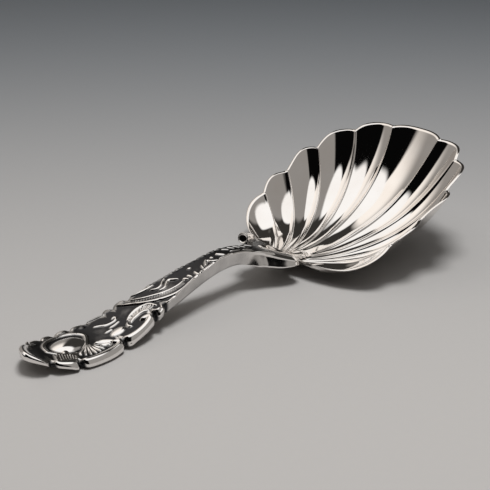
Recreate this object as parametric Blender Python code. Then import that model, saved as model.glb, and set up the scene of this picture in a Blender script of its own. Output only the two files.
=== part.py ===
"""Silver tea caddy spoon: a scallop-shell bowl on a short struck handle with scroll ornament.

The front of the handle is a tongue let into the heel of the bowl. A cast leaf covers that joint and a
small rolled scroll lies on the far shoulder. Metres, +Z up, +X from the handle's end to the bowl's tip.
"""
import math

import bmesh
import bpy
import numpy as np

MM = 0.001
CLEARANCE = 0.3 * MM

# Rim of the bowl: a flat tilted rim, whose plan is a superellipse about the bowl's widest line
BOWL_CENTRE = 29.0 * MM
BOWL_FRONT = 21.7 * MM
BOWL_BACK = 20.0 * MM
BOWL_HALF_WIDTH = 19.0 * MM
RIM_POWER = 2.5
RIM_TILT = math.radians(22.8)

# Hollow of the bowl: its depth below the rim, and how steep the wall is along and across
BOWL_DEPTH = 8.2 * MM
DEPTH_SKEW = 0.31
WALL_POWER_ALONG = 2.6
WALL_POWER_ACROSS = 3.7
SHEET = 0.7 * MM
HEEL_RISE = 1.0 * MM
HEEL_RUN = 4.0 * MM
HEEL_SHIFT = 3.2 * MM

# Flutes: where the ridges meet the rim, seen from the widest line (tip is 0 degrees). They deepen from
# the heel to the rim, and lean so that they are deepest on the side towards the tip.
RIDGE_ANGLES = (-160, -108, -90, -71, -43, -15, 15, 43, 71, 90, 108, 160)
HEEL_FLUTE_DEPTH = 0.25 * MM
RIM_FLUTE_DEPTH = 0.9 * MM
END_FLUTE_DEPTH = 0.15 * MM
FLUTE_GROWTH = 0.68
FLUTE_POWER = 1.3
FLUTE_RUN_IN = 0.35
HEEL_LEAN = -0.1
RIM_LEAN = 0.42
LEAN_LOBES = 1.5
SCALLOP = 0.05
RIDGE_BEND_X = 0.855
RIDGE_BEND_Y = 0.54
FOOT_SPREAD = 0.5
LOBE_STEPS = 8
FLUTE_STEPS = 16

# Handle in plan: a round-ended blade that tapers to a waist and spreads into shoulders
END_X = -48.3 * MM
BLADE_X = -40.0 * MM
END_ROUNDNESS = 2.1
NEAR_END_TRIM = 0.16
BLADE_HALF_WIDTH = 5.9 * MM
TAPER_EASE = 1.1
WAIST_X = -5.0 * MM
WAIST_HALF_WIDTH = 1.75 * MM
SHOULDER_X = 9.0 * MM
SHOULDER_HALF_WIDTH = 5.4 * MM
SHOULDER_EASE = 1.8
LEAST_HALF_WIDTH = 0.8 * MM

# Handle in profile: curled end, flat foot, arched stem, and a heel that runs on under the bowl
END_CURL = 2.65 * MM
END_THICKNESS = 0.6 * MM
CURL_X = -44.5 * MM
CURL_RISE = 1.15 * MM
CURL_THICKNESS = 0.85 * MM
FOOT_BACK = -38.5 * MM
FOOT_FRONT = -35.5 * MM
BLADE_THICKNESS = 1.3 * MM
STEM_BACK = -14.0 * MM
STEM_THICKNESS = 2.75 * MM
SHOULDER_THICKNESS = 2.9 * MM
ARCH_HEIGHT = 5.8 * MM
HEEL_HEIGHT = 1.4 * MM
HEEL_START = -1.0 * MM
HEEL_END = 6.0 * MM
HEEL_HALF_WIDTH = 1.3 * MM
SIDE_DRAFT = 0.93
EDGE_ROUND = 0.35 * MM
EDGE_POWER = 8
BLADE_STEP = 0.5 * MM
STEM_STEP = 1.0 * MM
TOP_POINTS = 29
FOOT_POINTS = 7

# Scroll lobes along the blade's two edges: the places of the notches that part them
NEAR_NOTCH_1 = -45.0 * MM
NEAR_NOTCH_2 = -40.7 * MM
NEAR_NOTCH_3 = -31.8 * MM
NEAR_NOTCH_4 = -24.6 * MM
NEAR_NOTCH_5 = -22.0 * MM
FAR_NOTCH_1 = -45.7 * MM
FAR_NOTCH_2 = -42.3 * MM
FAR_NOTCH_3 = -39.6 * MM
FAR_NOTCH_4 = -36.5 * MM
FAR_NOTCH_5 = -33.2 * MM
FAR_NOTCH_6 = -30.0 * MM
FAR_NOTCH_7 = -27.9 * MM
FAR_NOTCH_8 = -24.9 * MM
NEAR_LOBES = (
    (NEAR_NOTCH_1, NEAR_NOTCH_2), (NEAR_NOTCH_2, NEAR_NOTCH_3), (NEAR_NOTCH_3, NEAR_NOTCH_4),
    (NEAR_NOTCH_4, NEAR_NOTCH_5))
FAR_LOBES = (
    (FAR_NOTCH_1, FAR_NOTCH_2), (FAR_NOTCH_2, FAR_NOTCH_3), (FAR_NOTCH_3, FAR_NOTCH_4),
    (FAR_NOTCH_4, FAR_NOTCH_5), (FAR_NOTCH_6, FAR_NOTCH_7), (FAR_NOTCH_7, FAR_NOTCH_8))
LOBE_SWELL = 0.5 * MM
NEAR_NOTCH_DEPTH = 0.8 * MM
FAR_NOTCH_DEPTH = 0.3 * MM
NOTCH_HALF_WIDTH = 0.5 * MM

# Relief on the blade: a domed cartouche in a border, a lip round the end, a scroll along the near
# lobes, and two reeds that sweep across the stem
CARTOUCHE_X = -39.5 * MM
CARTOUCHE_Y = 0.7 * MM
CARTOUCHE_LENGTH = 7.4 * MM
CARTOUCHE_WIDTH = 5.8 * MM
CARTOUCHE_RISE = 0.42 * MM
BORDER_AT = 1.2
BORDER_SHARE = 0.13
BORDER_RISE = 0.25 * MM
LIP_AT = 0.84
LIP_SHARE = 0.16
LIP_RISE = 0.38 * MM
EDGE_SCROLL_HALF = 0.9 * MM
EDGE_SCROLL_RISE = 0.5 * MM
REED_BACK = -29.5 * MM
REED_FRONT = -17.5 * MM
REED_FAR = 4.5 * MM
REED_NEAR = -3.1 * MM
REED_SPACING = 1.3 * MM
REED_HALF = 0.42 * MM
REED_RISE = 0.34 * MM

# Tongue and the leaf on it
TONGUE_LENGTH = 7.4 * MM
TONGUE_HALF_WIDTH = 2.3 * MM
TONGUE_THICKNESS = 0.8 * MM
TONGUE_SECTIONS = 12
TONGUE_FIRST = 0.004
TONGUE_LAST = 0.97
BLEND_RUN = 3.6 * MM
LEAF_BACK = 5.4 * MM
LEAF_OVERHANG = 0.9 * MM
LEAF_EDGE = 0.3 * MM
LEAF_RIB = 0.5 * MM
LEAF_TIP = 0.16
LEAF_TURN = 0.6
LEAF_CENTRE = 0.15
LEAF_AROUND = 88
LEAF_RINGS = 6

# Rolled scroll on the far shoulder, thick at its dished round end
SCROLL_RADIUS = 0.95 * MM
SCROLL_TAPER = 0.55
SCROLL_START = 2.0 * MM
SCROLL_END = 5.6 * MM
SCROLL_LEAN = math.radians(35)
SCROLL_DISH = 0.2 * MM
SCROLL_ROUND = 0.15 * MM
SCROLL_AROUND = 16

SILVER = (0.90, 0.89, 0.87, 1.0)
POLISH = 0.08


def smooth(t):
    """Step from 0 to 1 with flat ends."""
    t = np.clip(t, 0.0, 1.0)
    return t * t * (3.0 - 2.0 * t)


def bead(t):
    """Round bead across: 1 in its middle, 0 at a distance of 1 and beyond."""
    return np.sqrt(np.clip(1.0 - t * t, 0.0, None))


def through(x, stations):
    """Cubic through (place, value) stations that never swings past them."""
    place, value = np.array(stations, dtype=float).T
    chord = np.diff(value) / np.diff(place)
    before, after = chord[:-1], chord[1:]
    same_way = before * after > 0
    mean = 2.0 * before * after / np.where(same_way, before + after, 1.0)
    slope = np.concatenate([chord[:1], np.where(same_way, mean, 0.0), chord[-1:]])
    i = np.clip(np.searchsorted(place, x) - 1, 0, len(place) - 2)
    step = place[i + 1] - place[i]
    t = (x - place[i]) / step
    start = value[i] * (1 + 2 * t) * (1 - t) ** 2 + slope[i] * step * t * (1 - t) ** 2
    end = value[i + 1] * t * t * (3 - 2 * t) - slope[i + 1] * step * t * t * (1 - t)
    return start + end


def bowl_height(x, y):
    """Inner face of the bowl at its ridges: the tilted rim plane less the hollow's depth."""
    along = (x - BOWL_CENTRE) / np.where(x > BOWL_CENTRE, BOWL_FRONT, BOWL_BACK)
    across = y / BOWL_HALF_WIDTH
    long_part = np.abs(along) ** RIM_POWER
    cross_part = np.abs(across) ** RIM_POWER
    total = long_part + cross_part + 1e-12
    power = WALL_POWER_ALONG + (WALL_POWER_ACROSS - WALL_POWER_ALONG) * cross_part / total
    hollow = BOWL_DEPTH * (1 + DEPTH_SKEW * along) * (1 - total ** (power / RIM_POWER))
    heel = HEEL_RISE * smooth((BOWL_CENTRE - BOWL_BACK + HEEL_SHIFT - x) / HEEL_RUN)
    return math.tan(RIM_TILT) * (x - BOWL_CENTRE) - hollow + heel


def ridge_plan(lobe, run):
    """Plan of the flute line at a lobe position: from the tongue's edge, bending out to the rim."""
    rim_angle = np.radians(np.interp(lobe, np.arange(len(RIDGE_ANGLES)), RIDGE_ANGLES))
    cos, sin = np.cos(rim_angle), np.sin(rim_angle)
    front = np.where(cos > 0, BOWL_FRONT, BOWL_BACK)
    rim_x = BOWL_CENTRE + front * np.sign(cos) * np.abs(cos) ** (2 / RIM_POWER)
    rim_y = BOWL_HALF_WIDTH * np.sign(sin) * np.abs(sin) ** (2 / RIM_POWER)
    from_middle = 2 * lobe / (len(RIDGE_ANGLES) - 1) - 1
    foot_angle = np.sign(from_middle) * np.abs(from_middle) ** FOOT_SPREAD * math.pi / 2
    foot_x = SHOULDER_X + CLEARANCE + TONGUE_LENGTH * np.cos(foot_angle)
    foot_y = (TONGUE_HALF_WIDTH + CLEARANCE) * np.sin(foot_angle)
    bend_x = foot_x + RIDGE_BEND_X * (rim_x - foot_x)
    bend_y = foot_y + RIDGE_BEND_Y * (rim_y - foot_y)
    x = foot_x * (1 - run) ** 2 + 2 * bend_x * run * (1 - run) + rim_x * run ** 2
    y = foot_y * (1 - run) ** 2 + 2 * bend_y * run * (1 - run) + rim_y * run ** 2
    return x, y


def bowl_points():
    """Grids of the bowl's inner and outer face, lobes across by steps along the flutes.

    The sheet is cut upright where it meets the handle and square to its face at the rim. The first
    and last lobes, beside the handle, are nearly flat and have a plain rim.
    """
    lobe_count = len(RIDGE_ANGLES) - 1
    lobe = np.linspace(0, lobe_count, lobe_count * LOBE_STEPS + 1)[:, None]
    share = lobe % 1.0
    from_end = np.minimum(lobe, lobe_count - lobe)
    bulge = SCALLOP * 4 * share * (1 - share) * (from_end > 1)
    run = np.linspace(0, 1, FLUTE_STEPS + 1)[None, :] * (1 + bulge)
    x, y = ridge_plan(lobe, run)
    points = np.stack([x, y, bowl_height(x, y)], axis=-1)
    normal = np.cross(np.gradient(points, axis=1), np.gradient(points, axis=0))
    normal /= np.linalg.norm(normal, axis=-1, keepdims=True)
    normal *= np.sign(normal[..., 2:])
    side = np.clip((lobe - lobe_count / 2) / LEAN_LOBES, -1.0, 1.0)
    leaning = share + side * (HEEL_LEAN + (RIM_LEAN - HEEL_LEAN) * run) * share * (1 - share)
    arch = np.clip(4 * leaning * (1 - leaning), 0.0, 1.0) ** FLUTE_POWER
    depth = HEEL_FLUTE_DEPTH + (RIM_FLUTE_DEPTH - HEEL_FLUTE_DEPTH) * run ** FLUTE_GROWTH
    sink = np.where(from_end > 1, depth, END_FLUTE_DEPTH) * arch * smooth(run / FLUTE_RUN_IN)
    inside = points - normal * sink[..., None]
    slant = smooth(run / FLUTE_RUN_IN) * smooth(2 * from_end)
    outward = normal * slant[..., None]
    outward[..., 2] += 1 - slant
    outward /= np.linalg.norm(outward, axis=-1, keepdims=True)
    return inside, inside - outward * SHEET


def notch_share(x, lobes):
    """Share of a notch at a place: a bell at each end of a lobe."""
    places = sorted({place for ends in lobes for place in ends})
    return sum(np.exp(-((x - place) / NOTCH_HALF_WIDTH) ** 2) for place in places)


def half_width(x, lobes, notch_depth, end_trim):
    """Half width of the handle on one side: round end, taper, waist, shoulder, with scroll lobes."""
    taper = np.clip((x - BLADE_X) / (WAIST_X - BLADE_X), 0.0, 1.0)
    spread = np.clip((x - WAIST_X) / (SHOULDER_X - WAIST_X), 0.0, 1.0)
    past = np.clip((BLADE_X - x) / (BLADE_X - END_X), 0.0, 1.0)
    width = BLADE_HALF_WIDTH + (WAIST_HALF_WIDTH - BLADE_HALF_WIDTH) * smooth(taper ** TAPER_EASE)
    width = width + (SHOULDER_HALF_WIDTH - WAIST_HALF_WIDTH) * smooth(spread ** SHOULDER_EASE)
    width = width * np.sqrt(1 - past ** END_ROUNDNESS) * (1 - end_trim * smooth(2 * past))
    for start, end in lobes:
        width = width + LOBE_SWELL * np.sin(math.pi * np.clip((x - start) / (end - start), 0.0, 1.0))
    return np.maximum(width - notch_depth * notch_share(x, lobes), LEAST_HALF_WIDTH)


def far_width(x):
    """Half width on the far side, with shallow notches."""
    return half_width(x, FAR_LOBES, FAR_NOTCH_DEPTH, 0.0)


def near_width(x):
    """Half width on the near side, with deep notches and a trimmed end."""
    return half_width(x, NEAR_LOBES, NEAR_NOTCH_DEPTH, NEAR_END_TRIM)


def underside(x, rest):
    """Height of the handle's underside: curled end, flat foot, arch and heel."""
    return rest + through(x, (
        (END_X, END_CURL),
        (CURL_X, CURL_RISE),
        (FOOT_BACK, 0.0),
        (FOOT_FRONT, 0.0),
        ((FOOT_FRONT + WAIST_X) / 2, ARCH_HEIGHT / 2),
        (WAIST_X, ARCH_HEIGHT),
        (SHOULDER_X, HEEL_HEIGHT)))


def handle_top(x, y, rest):
    """Height of the handle's upper face before relief; past the waist it flows into the bowl."""
    thickness = through(x, (
        (END_X, END_THICKNESS),
        (CURL_X, CURL_THICKNESS),
        (FOOT_BACK, BLADE_THICKNESS),
        (FOOT_FRONT, BLADE_THICKNESS),
        (STEM_BACK, STEM_THICKNESS),
        (SHOULDER_X, SHOULDER_THICKNESS)))
    blend = smooth(x / BLEND_RUN)
    return (underside(x, rest) + thickness) * (1 - blend) + bowl_height(x, y) * blend


def relief(x, y):
    """Relief on the upper face at one section: the highest of cartouche, lip, edge scroll and reeds."""
    oval = np.hypot((x - CARTOUCHE_X) / (CARTOUCHE_LENGTH / 2), (y - CARTOUCHE_Y) / (CARTOUCHE_WIDTH / 2))
    rise = np.maximum(CARTOUCHE_RISE * bead(oval), BORDER_RISE * bead((oval - BORDER_AT) / BORDER_SHARE))
    past = np.clip((BLADE_X - x) / (BLADE_X - END_X), 0.0, 1.0)
    end_level = past ** END_ROUNDNESS + (y / BLADE_HALF_WIDTH) ** 2
    rise = np.maximum(rise, LIP_RISE * smooth(2 * past) * bead((end_level - LIP_AT) / LIP_SHARE))
    from_edge = near_width(x) + y
    on_lobes = (NEAR_NOTCH_2 < x < NEAR_NOTCH_4) * (1 - min(notch_share(x, NEAR_LOBES), 1.0))
    rise = np.maximum(rise, EDGE_SCROLL_RISE * on_lobes * bead(from_edge / EDGE_SCROLL_HALF - 1))
    share = np.clip((x - REED_BACK) / (REED_FRONT - REED_BACK), 0.0, 1.0)
    fall = (REED_NEAR - REED_FAR) / (REED_FRONT - REED_BACK) * 6 * share * (1 - share)
    for offset in (0.0, REED_SPACING):
        away = (y - REED_FAR - offset - (REED_NEAR - REED_FAR) * smooth(share)) / math.hypot(1.0, fall)
        rise = np.maximum(rise, REED_RISE * bead(2 * share - 1) * bead(away / REED_HALF))
    return rise


def add_object(name, fill):
    """Object with its own polished silver, from a bmesh that the given function fills."""
    mesh = bpy.data.meshes.new(name)
    shape = bmesh.new()
    fill(shape)
    bmesh.ops.recalc_face_normals(shape, faces=shape.faces)
    shape.to_mesh(mesh)
    shape.free()
    mesh.shade_smooth()
    material = bpy.data.materials.new(name)
    material.use_nodes = True
    shader = material.node_tree.nodes["Principled BSDF"]
    shader.inputs["Base Color"].default_value = SILVER
    shader.inputs["Metallic"].default_value = 1.0
    shader.inputs["Roughness"].default_value = POLISH
    mesh.materials.append(material)
    thing = bpy.data.objects.new(name, mesh)
    bpy.context.collection.objects.link(thing)
    return thing


def closed_sheet(shape, upper, lower):
    """Closed body between two grids of points of the same size."""
    skins = [[[shape.verts.new(point) for point in row] for row in grid] for grid in (upper, lower)]
    for skin in skins:
        for row, after in zip(skin, skin[1:]):
            for k in range(len(row) - 1):
                shape.faces.new((row[k], row[k + 1], after[k + 1], after[k]))
    edges = []
    for skin in skins:
        sides = skin[0] + [row[-1] for row in skin[1:-1]] + skin[-1][::-1]
        edges.append(sides + [row[0] for row in skin[-2:0:-1]])
    for k in range(len(edges[0])):
        shape.faces.new((edges[0][k - 1], edges[0][k], edges[1][k], edges[1][k - 1]))


def loft(shape, sections):
    """Closed body through sections of equally many points, with a fan of faces over both ends."""
    rings = [[shape.verts.new(point) for point in section] for section in sections]
    for ring, after in zip(rings, rings[1:]):
        for k in range(len(ring)):
            shape.faces.new((ring[k - 1], ring[k], after[k], after[k - 1]))
    for ring, section in ((rings[0], sections[0]), (rings[-1], sections[-1])):
        middle = shape.verts.new(np.mean(section, axis=0))
        for k in range(len(ring)):
            shape.faces.new((ring[k - 1], ring[k], middle))


def make_bowl():
    """Stamped sheet bowl."""
    inside, outside = bowl_points()
    return add_object("shell_bowl", lambda shape: closed_sheet(shape, inside, outside))


def lowest(thing):
    """Lowest point of a mesh object that stands at the origin."""
    return min(vert.co.z for vert in thing.data.vertices)


def section_points(x, ys, zs):
    """Points of a section that stands across the handle at x."""
    return np.stack([np.full(len(ys), x), ys, zs], axis=-1)


def stem_section(x, rest):
    """Section of the blade or stem: relief on top, flange edges as thick as the sheet, narrow heel."""
    far, near = far_width(x), near_width(x)
    top = np.linspace(1, -1, TOP_POINTS)
    y = np.where(top > 0, far, near) * top
    z = handle_top(x, y, rest) + relief(x, y) - EDGE_ROUND * np.abs(top) ** EDGE_POWER
    floor = float(underside(x, rest))
    heel = smooth((x - HEEL_START) / (HEEL_END - HEEL_START))
    far_foot, near_foot = [SIDE_DRAFT * side * (1 - heel) + HEEL_HALF_WIDTH * heel for side in (far, near)]
    bottom = np.linspace(-1, 1, FOOT_POINTS)
    y_bottom = np.where(bottom > 0, far_foot, near_foot) * bottom
    far_lip, near_lip = [edge - min(SHEET, (edge - floor) / 2) for edge in (z[0], z[-1])]
    far_neck, near_neck = [(3 * foot + side) / 4 for foot, side in ((far_foot, far), (near_foot, near))]
    ys = np.concatenate([y, [-near, -near_neck], y_bottom, [far_neck, far]])
    zs = np.concatenate([
        z, [near_lip, (3 * near_lip + floor) / 4], np.full(FOOT_POINTS, floor),
        [(3 * far_lip + floor) / 4, far_lip]])
    return section_points(x, ys, zs)


def tongue_section(x, rest):
    """Section of the tongue: its top continues the bowl's inner face, its heel thins to the tip."""
    share = (x - SHOULDER_X) / TONGUE_LENGTH
    reach = TONGUE_HALF_WIDTH * math.sqrt(1 - share ** 2)
    y = np.linspace(reach, -reach, TOP_POINTS)
    z = bowl_height(x, y)
    foot = reach * HEEL_HALF_WIDTH / TONGUE_HALF_WIDTH
    thin = float(bowl_height(x, 0.0)) - TONGUE_THICKNESS
    floor = min(thin, (rest + HEEL_HEIGHT) * (1 - share) + thin * share)
    y_bottom = np.linspace(-foot, foot, FOOT_POINTS)
    side = [z[0] - SHEET, (3 * (z[0] - SHEET) + floor) / 4]
    neck = (3 * foot + reach) / 4
    ys = np.concatenate([y, [-reach, -neck], y_bottom, [neck, reach]])
    return section_points(x, ys, np.concatenate([z, side, np.full(FOOT_POINTS, floor), side[::-1]]))


def make_handle(rest):
    """Handle lofted through its sections, from the curled end to the tongue's tip."""
    stem = np.concatenate([
        np.arange(END_X, STEM_BACK, BLADE_STEP), np.arange(STEM_BACK, SHOULDER_X, STEM_STEP), [SHOULDER_X]])
    turn = np.linspace(TONGUE_FIRST, TONGUE_LAST, TONGUE_SECTIONS) * math.pi / 2
    tongue = SHOULDER_X + (TONGUE_LENGTH - CLEARANCE) * np.sin(turn)
    sections = [stem_section(x, rest) for x in stem] + [tongue_section(x, rest) for x in tongue]
    return add_object("handle", lambda shape: loft(shape, sections))


def make_leaf(rest):
    """Cast leaf over the joint: rings about the shoulder line, with a blunt tip on each ridge's foot.

    The top rings grow from the middle to the edge, and the bottom rings shrink again just above the
    tongue and the feet of the flutes.
    """
    angle = np.linspace(0, 2 * math.pi, LEAF_AROUND, endpoint=False)
    front = smooth(2 * np.cos(angle) + LEAF_TURN)
    turn = np.arcsin(np.sin(angle)) / (math.pi / 2)
    from_middle = np.sign(turn) * np.abs(turn) ** (1 / FOOT_SPREAD)
    lobe = (from_middle + 1) / 2 * (len(RIDGE_ANGLES) - 1)
    tip = front * (0.5 + 0.5 * np.cos(2 * math.pi * lobe))
    grow = 1 + LEAF_TIP * (tip - 0.5)
    length = np.where(np.cos(angle) > 0, TONGUE_LENGTH + LEAF_OVERHANG, LEAF_BACK)
    outs = np.linspace(LEAF_CENTRE, 1, LEAF_RINGS)
    rings = []
    for out, top in [(out, 1.0) for out in outs] + [(out, 0.0) for out in outs[::-1]]:
        x = SHOULDER_X + length * np.cos(angle) * out * grow
        y = (TONGUE_HALF_WIDTH + LEAF_OVERHANG) * np.sin(angle) * out * grow
        z = handle_top(x, y, rest) + CLEARANCE + top * (LEAF_EDGE + LEAF_RIB * out ** 2 * tip)
        rings.append(np.stack([x, y, z], axis=-1))
    return add_object("heel_leaf", lambda shape: loft(shape, rings))


def make_scroll(rest):
    """Rolled scroll along the far shoulder's edge: a tapered roll with a dished end."""
    ends = []
    for x, radius in ((SCROLL_START, SCROLL_RADIUS), (SCROLL_END, SCROLL_RADIUS * SCROLL_TAPER)):
        away = radius + CLEARANCE
        y = float(far_width(x))
        z = float(handle_top(x, y, rest))
        ends.append(np.array([x, y + away * math.cos(SCROLL_LEAN), z + away * math.sin(SCROLL_LEAN)]))
    axis = ends[1] - ends[0]
    length = float(np.linalg.norm(axis))
    forward = axis / length
    sideways = np.cross(forward, (0.0, 0.0, 1.0))
    sideways /= np.linalg.norm(sideways)
    upward = np.cross(sideways, forward)
    turn = np.linspace(0, 2 * math.pi, SCROLL_AROUND, endpoint=False)
    spin = np.cos(turn)[:, None] * sideways + np.sin(turn)[:, None] * upward
    tail = SCROLL_RADIUS * SCROLL_TAPER
    profile = (
        (SCROLL_DISH, SCROLL_RADIUS / 4), (SCROLL_DISH / 2, SCROLL_RADIUS / 2),
        (0.0, SCROLL_RADIUS - 2 * SCROLL_ROUND), (0.0, SCROLL_RADIUS - SCROLL_ROUND),
        (SCROLL_ROUND, SCROLL_RADIUS), (length - SCROLL_ROUND, tail), (length, tail - SCROLL_ROUND))
    rings = [ends[0] + along * forward + radius * spin for along, radius in profile]
    return add_object("shoulder_scroll", lambda shape: loft(shape, rings))


def place(pieces, rest):
    """Stand the spoon on z = 0 with the middle of its length at the origin."""
    ends = [vert.co.x for piece in pieces for vert in piece.data.vertices]
    stand = bpy.data.objects.new("spoon", None)
    bpy.context.collection.objects.link(stand)
    stand.location = (-(min(ends) + max(ends)) / 2, 0.0, -rest)
    for piece in pieces:
        piece.parent = stand


for old in list(bpy.data.objects):
    bpy.data.objects.remove(old)
shell = make_bowl()
table = lowest(shell)
place([shell, make_handle(table), make_leaf(table), make_scroll(table)], table)
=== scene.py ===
"""Looks of a silver tea caddy spoon with a fluted shell bowl and a struck scroll handle.

Shapes are worked out in millimetres from the spoon's own drawing: X runs from the handle's end to the
bowl's tip, and zero is under the start of the shoulders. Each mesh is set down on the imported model.
"""
import math

import bpy
import numpy as np
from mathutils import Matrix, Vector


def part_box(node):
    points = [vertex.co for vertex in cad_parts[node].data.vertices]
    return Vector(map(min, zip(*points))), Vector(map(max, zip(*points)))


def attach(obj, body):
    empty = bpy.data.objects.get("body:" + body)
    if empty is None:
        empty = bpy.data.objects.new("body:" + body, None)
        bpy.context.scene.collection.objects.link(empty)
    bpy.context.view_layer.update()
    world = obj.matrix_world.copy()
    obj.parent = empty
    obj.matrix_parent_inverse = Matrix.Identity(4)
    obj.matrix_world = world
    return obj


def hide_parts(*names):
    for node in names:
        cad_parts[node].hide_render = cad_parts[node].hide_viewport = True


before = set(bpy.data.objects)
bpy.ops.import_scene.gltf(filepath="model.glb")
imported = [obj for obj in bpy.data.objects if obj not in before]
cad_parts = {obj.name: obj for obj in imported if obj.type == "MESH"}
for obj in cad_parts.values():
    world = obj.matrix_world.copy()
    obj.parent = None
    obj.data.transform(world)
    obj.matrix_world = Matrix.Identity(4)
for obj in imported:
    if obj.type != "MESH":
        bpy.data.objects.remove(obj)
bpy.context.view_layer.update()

# Camera: it stands in front of the handle's end on the near side and looks a little down, with a
# long lens, so that the handle comes forward and the bowl opens towards it.
AIM = np.array([-0.0022, 0.0, 0.0084])
CAMERA_DISTANCE = 0.17431
CAMERA_AZIMUTH = math.radians(-41.533)
CAMERA_ELEVATION = math.radians(24.5)
FOCAL_PIXELS = 910.1
FRAME_PIXELS = 490
SENSOR_MM = 36.0
NEAREST_SEEN = 0.005

back = np.array([
    math.sin(CAMERA_AZIMUTH) * math.cos(CAMERA_ELEVATION),
    -math.cos(CAMERA_AZIMUTH) * math.cos(CAMERA_ELEVATION),
    math.sin(CAMERA_ELEVATION)])
lens = bpy.data.cameras.new("camera")
lens.sensor_width = SENSOR_MM
lens.lens = FOCAL_PIXELS / FRAME_PIXELS * SENSOR_MM
lens.clip_start = NEAREST_SEEN
camera = bpy.data.objects.new("camera", lens)
camera.location = AIM + CAMERA_DISTANCE * back
camera.rotation_euler = (math.pi / 2 - CAMERA_ELEVATION, 0.0, CAMERA_AZIMUTH)
bpy.context.collection.objects.link(camera)
bpy.context.scene.camera = camera
bpy.context.scene.view_settings.view_transform = "Standard"

# Shell bowl: silver sheet stamped in a die into eleven flutes that fan out from the heel, with a rim cut
# in scallops, rounded over and polished to a mirror. It is soldered round the handle's tongue.
MM = 0.001
HANDLE_REACH = 48.3
RIM_CENTRE, RIM_FRONT, RIM_BACK, RIM_SIDE = 29.0, 21.2, 19.2, 18.5
RIM_POWER = 2.5
RIM_HEIGHT, RIM_SLOPE = 12.0, math.tan(math.radians(22.8))
BOWL_DEPTH, DEPTH_SKEW = 8.2, 0.31
WALL_ALONG, WALL_ACROSS = 2.6, 3.7
HEEL_RISE, HEEL_RUN = 1.0, 2.4
RIDGE_ANGLES = np.array([-166, -108, -90, -71, -43, -15, 15, 43, 71, 90, 108, 166.0])
LOBES = len(RIDGE_ANGLES) - 1
SHOULDER_X, TONGUE_LENGTH, TONGUE_SIDE = 9.0, 7.4, 2.3
FOOT_SPREAD, BEND_X, BEND_Y = 0.5, 0.855, 0.54
HEEL_FLUTE, RIM_FLUTE, END_FLUTE, FLUTE_GROWTH = 0.25, 0.9, 3.0, 0.68
FLUTE_POWER, HEEL_LEAN, RIM_LEAN, LEAN_LOBES = 1.3, -0.1, 0.42, 1.5
RUN_IN_MIDDLE, RUN_IN_SIDES, RUN_IN_POWER = 0.28, 0.5, 1.5
SIDE_SHALLOWING, SHALLOW_FROM, SHALLOW_OVER = 0.55, 0.55, 0.15
HEEL_DISH, DISH_FROM, DISH_OVER, DISH_RUN = 0.5, 0.2, 0.4, 0.4
ROUNDING_AT_RIM, ROUNDING_AT_HEEL = 0.1, 0.25
SCALLOP, END_SCALLOP = 0.05, 0.05
HEEL_RIB, RIM_RIB, RIB_HALF, RIB_FLARE = 0.3, 0.18, 0.24, 0.14
RIB_FROM, RIB_OVER = 0.015, 0.05
RIM_SHEET, FLOOR_SHEET, END_SHEET, END_FADE = 0.48, 1.45, 0.2, 0.6
STOUT_AT_FOOT, STOUT_LOSS_OUT = 1.7, 2.0
STOUT_IN_MIDDLE, STOUT_LOSS_ASIDE = 1.9, 2.4
LIP_CROWN, LIP_LEAST_TURN = 0.05, 0.5
LIP_SHARES = (0.1, 0.3, 0.5, 0.7, 0.9, 1.0)
LOBE_STEPS, RUN_STEPS, RIDGE_CROWDING = 32, 120, 0.85


def ease(t):
    """Step from 0 to 1 with flat ends: three t squared less two t cubed."""
    t = np.clip(t, 0.0, 1.0)
    return t * t * (3.0 - 2.0 * t)


def ramp(place, start, length):
    """Eased step along a place: the way past the start over the length, eased."""
    return ease((place - start) / length)


def blend(first, second, share):
    """Straight way from the first value to the second: the first plus the share of their difference."""
    return first + (second - first) * share


def bowl_face(x, y):
    """Height of the bowl's inner face at its ridges.

    The rim plane rises along X. The hollow below it is deepest in the middle and comes up to the rim as
    a power of the superellipse radius, with a steeper power across than along. The heel lifts a little.
    """
    along = (x - RIM_CENTRE) / np.where(x > RIM_CENTRE, RIM_FRONT, RIM_BACK)
    long_part = np.abs(along) ** RIM_POWER
    cross_part = np.abs(y / RIM_SIDE) ** RIM_POWER
    total = long_part + cross_part + 1e-12
    power = blend(WALL_ALONG, WALL_ACROSS, cross_part / total)
    hollow = BOWL_DEPTH * (1 + DEPTH_SKEW * along) * (1 - total ** (power / RIM_POWER))
    heel = HEEL_RISE * ease((RIM_CENTRE - RIM_BACK - x) / HEEL_RUN + 0.5)
    return RIM_HEIGHT + RIM_SLOPE * (x - RIM_CENTRE) - hollow + heel


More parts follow.
